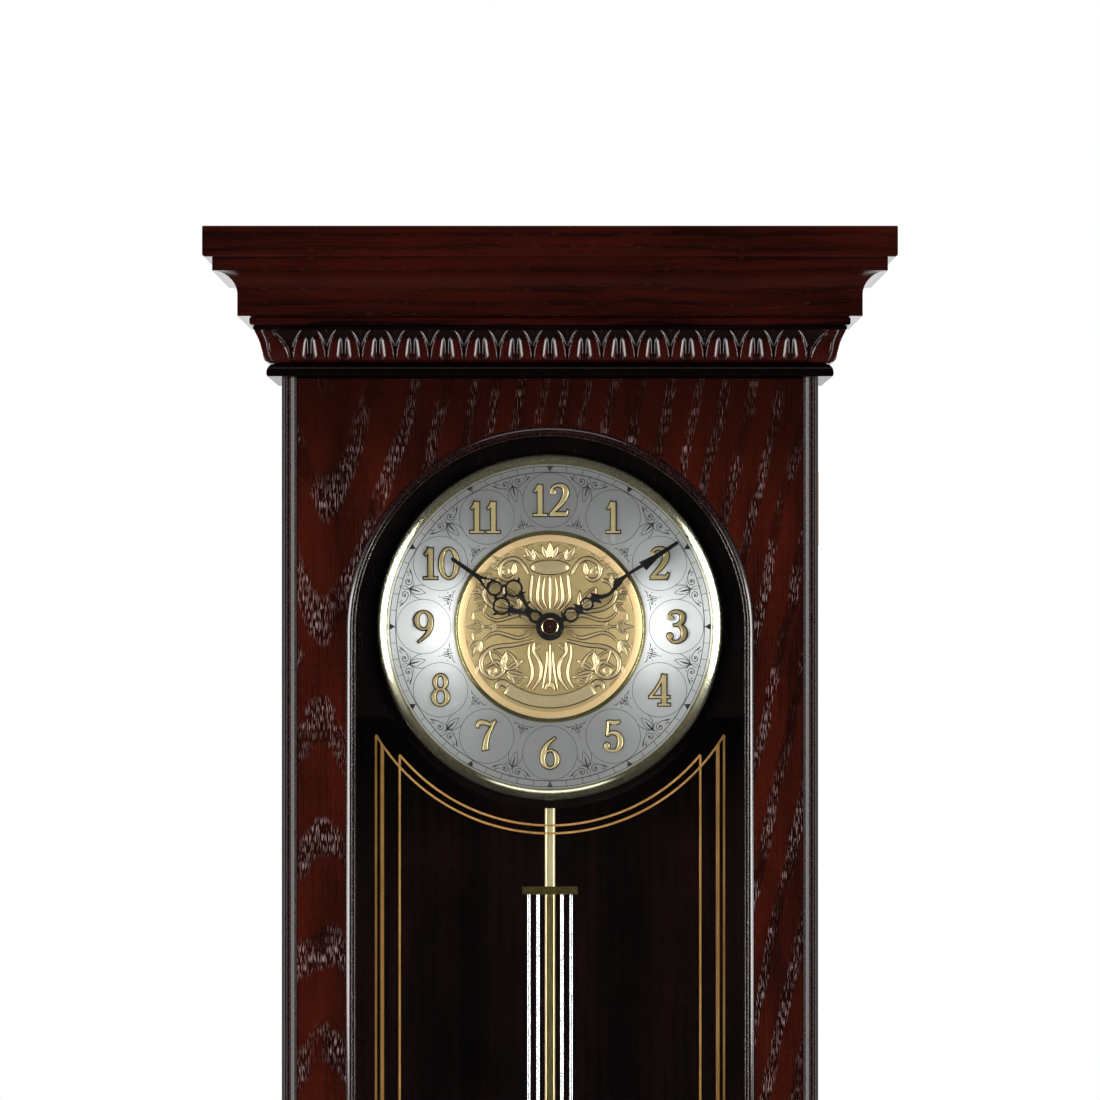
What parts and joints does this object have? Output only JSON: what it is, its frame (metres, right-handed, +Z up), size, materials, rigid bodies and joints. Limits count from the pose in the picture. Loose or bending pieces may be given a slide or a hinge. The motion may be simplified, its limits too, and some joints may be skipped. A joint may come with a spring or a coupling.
{
  "type": "pendulum wall clock",
  "caption": "Wooden wall clock with a moulded cornice, arched glazed door, round silvered dial with gilt figures, pierced black hands and a rod pendulum.",
  "frame": {"origin": "centre of the hanger bore, on the clock's back plane", "axes": "+Z up, +Y from the dial towards the wall, +X to the right of someone facing the dial"},
  "size_m": [0.37, 0.1405, 0.7111],
  "materials": {
    "oak": "satin reddish-brown lacquer over open-grained oak",
    "dark_wood": "dark reddish-brown satin lacquer",
    "raw_wood": "unfinished",
    "clear_glass": "clear, polished",
    "silver": "satin, brushed in circles",
    "gilt": "polished gilt",
    "matte_gilt": "matte gilt with raised ornament",
    "brass": "polished",
    "chrome": "polished",
    "steel": "plain",
    "black_metal": "satin black",
    "brown_cap": "glossy dark brown with a gilt edge",
    "black_plastic": "fine matte",
    "white_plastic": "moulded",
    "board_green": "resist-coated",
    "copper": "enamelled wire",
    "cell": "plain printed jacket",
    "magnet": "plain"
  },
  "bodies": {
    "case": {"side_panels": "oak", "back_panel": "dark_wood", "bottom_panel": "dark_wood", "hanging_rail": "raw_wood", "frieze_board": "dark_wood", "base_rail": "dark_wood", "cornice_board": "oak", "crown_moulding": "oak", "neck_strips": "oak", "leaf_moulding": "dark_wood", "base_moulding": "oak", "plinth": "oak", "dial_board": "dark_wood", "board_cleats": "raw_wood", "dial_plate": "silver", "medallion": "matte_gilt", "bezel": "gilt", "numerals": "gilt", "screws": "steel", "hinge_case_leaves": "brass", "hinge_pins": "brass", "catch_magnet": "white_plastic", "hanger_plate": "steel", "movement_front": "black_plastic", "bush_nut": "brass", "movement_rear": "black_plastic", "motor_module": "black_plastic", "circuit_board": "board_green", "battery_cells": "cell", "battery_contacts": "steel", "drive_coil": "copper", "pendulum_pivot": "steel", "speaker": "black_metal"},
    "door": {"door_panel": "oak", "door_edge_strips": "dark_wood", "arch_moulding": "dark_wood", "door_glass": "clear_glass", "glass_beads": "dark_wood", "hinge_door_leaves": "brass", "hinge_door_screws": "steel", "catch_plate": "steel"},
    "minute": {"minute_hand": "black_metal", "hand_nut": "brown_cap", "minute_shaft": "brass"},
    "hour": {"hour_hand": "black_metal", "hour_wheel": "white_plastic"},
    "idler": {"minute_wheel": "white_plastic"},
    "motor": {"motor_pinion": "white_plastic"},
    "setting": {"set_knob": "white_plastic"},
    "pendulum": {"pendulum_hanger": "white_plastic", "drive_magnet": "magnet", "pendulum_rod": "brass", "crossbars": "gilt", "silver_rods": "chrome", "bob_shell": "gilt", "bob_weight": "steel", "rating_nut": "brass"},
    "cover": {"battery_cover": "black_plastic"},
    "volume": {"volume_dial": "white_plastic"},
    "selector": {"chime_selector": "white_plastic"}
  },
  "joints": [
    {"name": "door_hinge", "type": "hinge", "parent": "case", "child": "door", "pos_m": [0.1438, -0.0797, -0.2998], "axis": [0, 0, 1], "range_deg": [0, 110]},
    {"name": "minute_spin", "type": "hinge", "parent": "case", "child": "minute", "pos_m": [0, -0.06, -0.1434], "axis": [0, 1, 0], "continuous": true},
    {"name": "hour_spin", "type": "hinge", "parent": "case", "child": "hour", "pos_m": [0, -0.06, -0.1434], "axis": [0, 1, 0], "continuous": true},
    {"name": "idler_spin", "type": "hinge", "parent": "case", "child": "idler", "pos_m": [0, -0.055, -0.1314], "axis": [0, 1, 0], "continuous": true},
    {"name": "motor_spin", "type": "hinge", "parent": "case", "child": "motor", "pos_m": [-0.0102, -0.051, -0.1434], "axis": [0, 1, 0], "continuous": true},
    {"name": "set_spin", "type": "hinge", "parent": "case", "child": "setting", "pos_m": [0.01039, -0.05, -0.1254], "axis": [0, 1, 0], "continuous": true},
    {"name": "pendulum_swing", "type": "hinge", "parent": "case", "child": "pendulum", "pos_m": [0, -0.044, -0.1934], "axis": [0, 1, 0], "range_deg": [-5, 5]},
    {"name": "cover_slide", "type": "slide", "parent": "case", "child": "cover", "axis": [1, 0, 0], "range_m": [0, 0.04]},
    {"name": "volume_turn", "type": "hinge", "parent": "case", "child": "volume", "pos_m": [-0.03, -0.04, -0.1144], "axis": [0, -1, 0], "range_deg": [0, 270]},
    {"name": "selector_slide", "type": "slide", "parent": "case", "child": "selector", "axis": [1, 0, 0], "range_m": [0, 0.008]}
  ],
  "couplings": [
    {"joint": "hour_spin", "follows": "minute_spin", "ratio": 0.083333},
    {"joint": "idler_spin", "follows": "minute_spin", "ratio": -0.33333},
    {"joint": "set_spin", "follows": "minute_spin", "ratio": 1},
    {"joint": "motor_spin", "follows": "minute_spin", "ratio": -7.5}
  ]
}
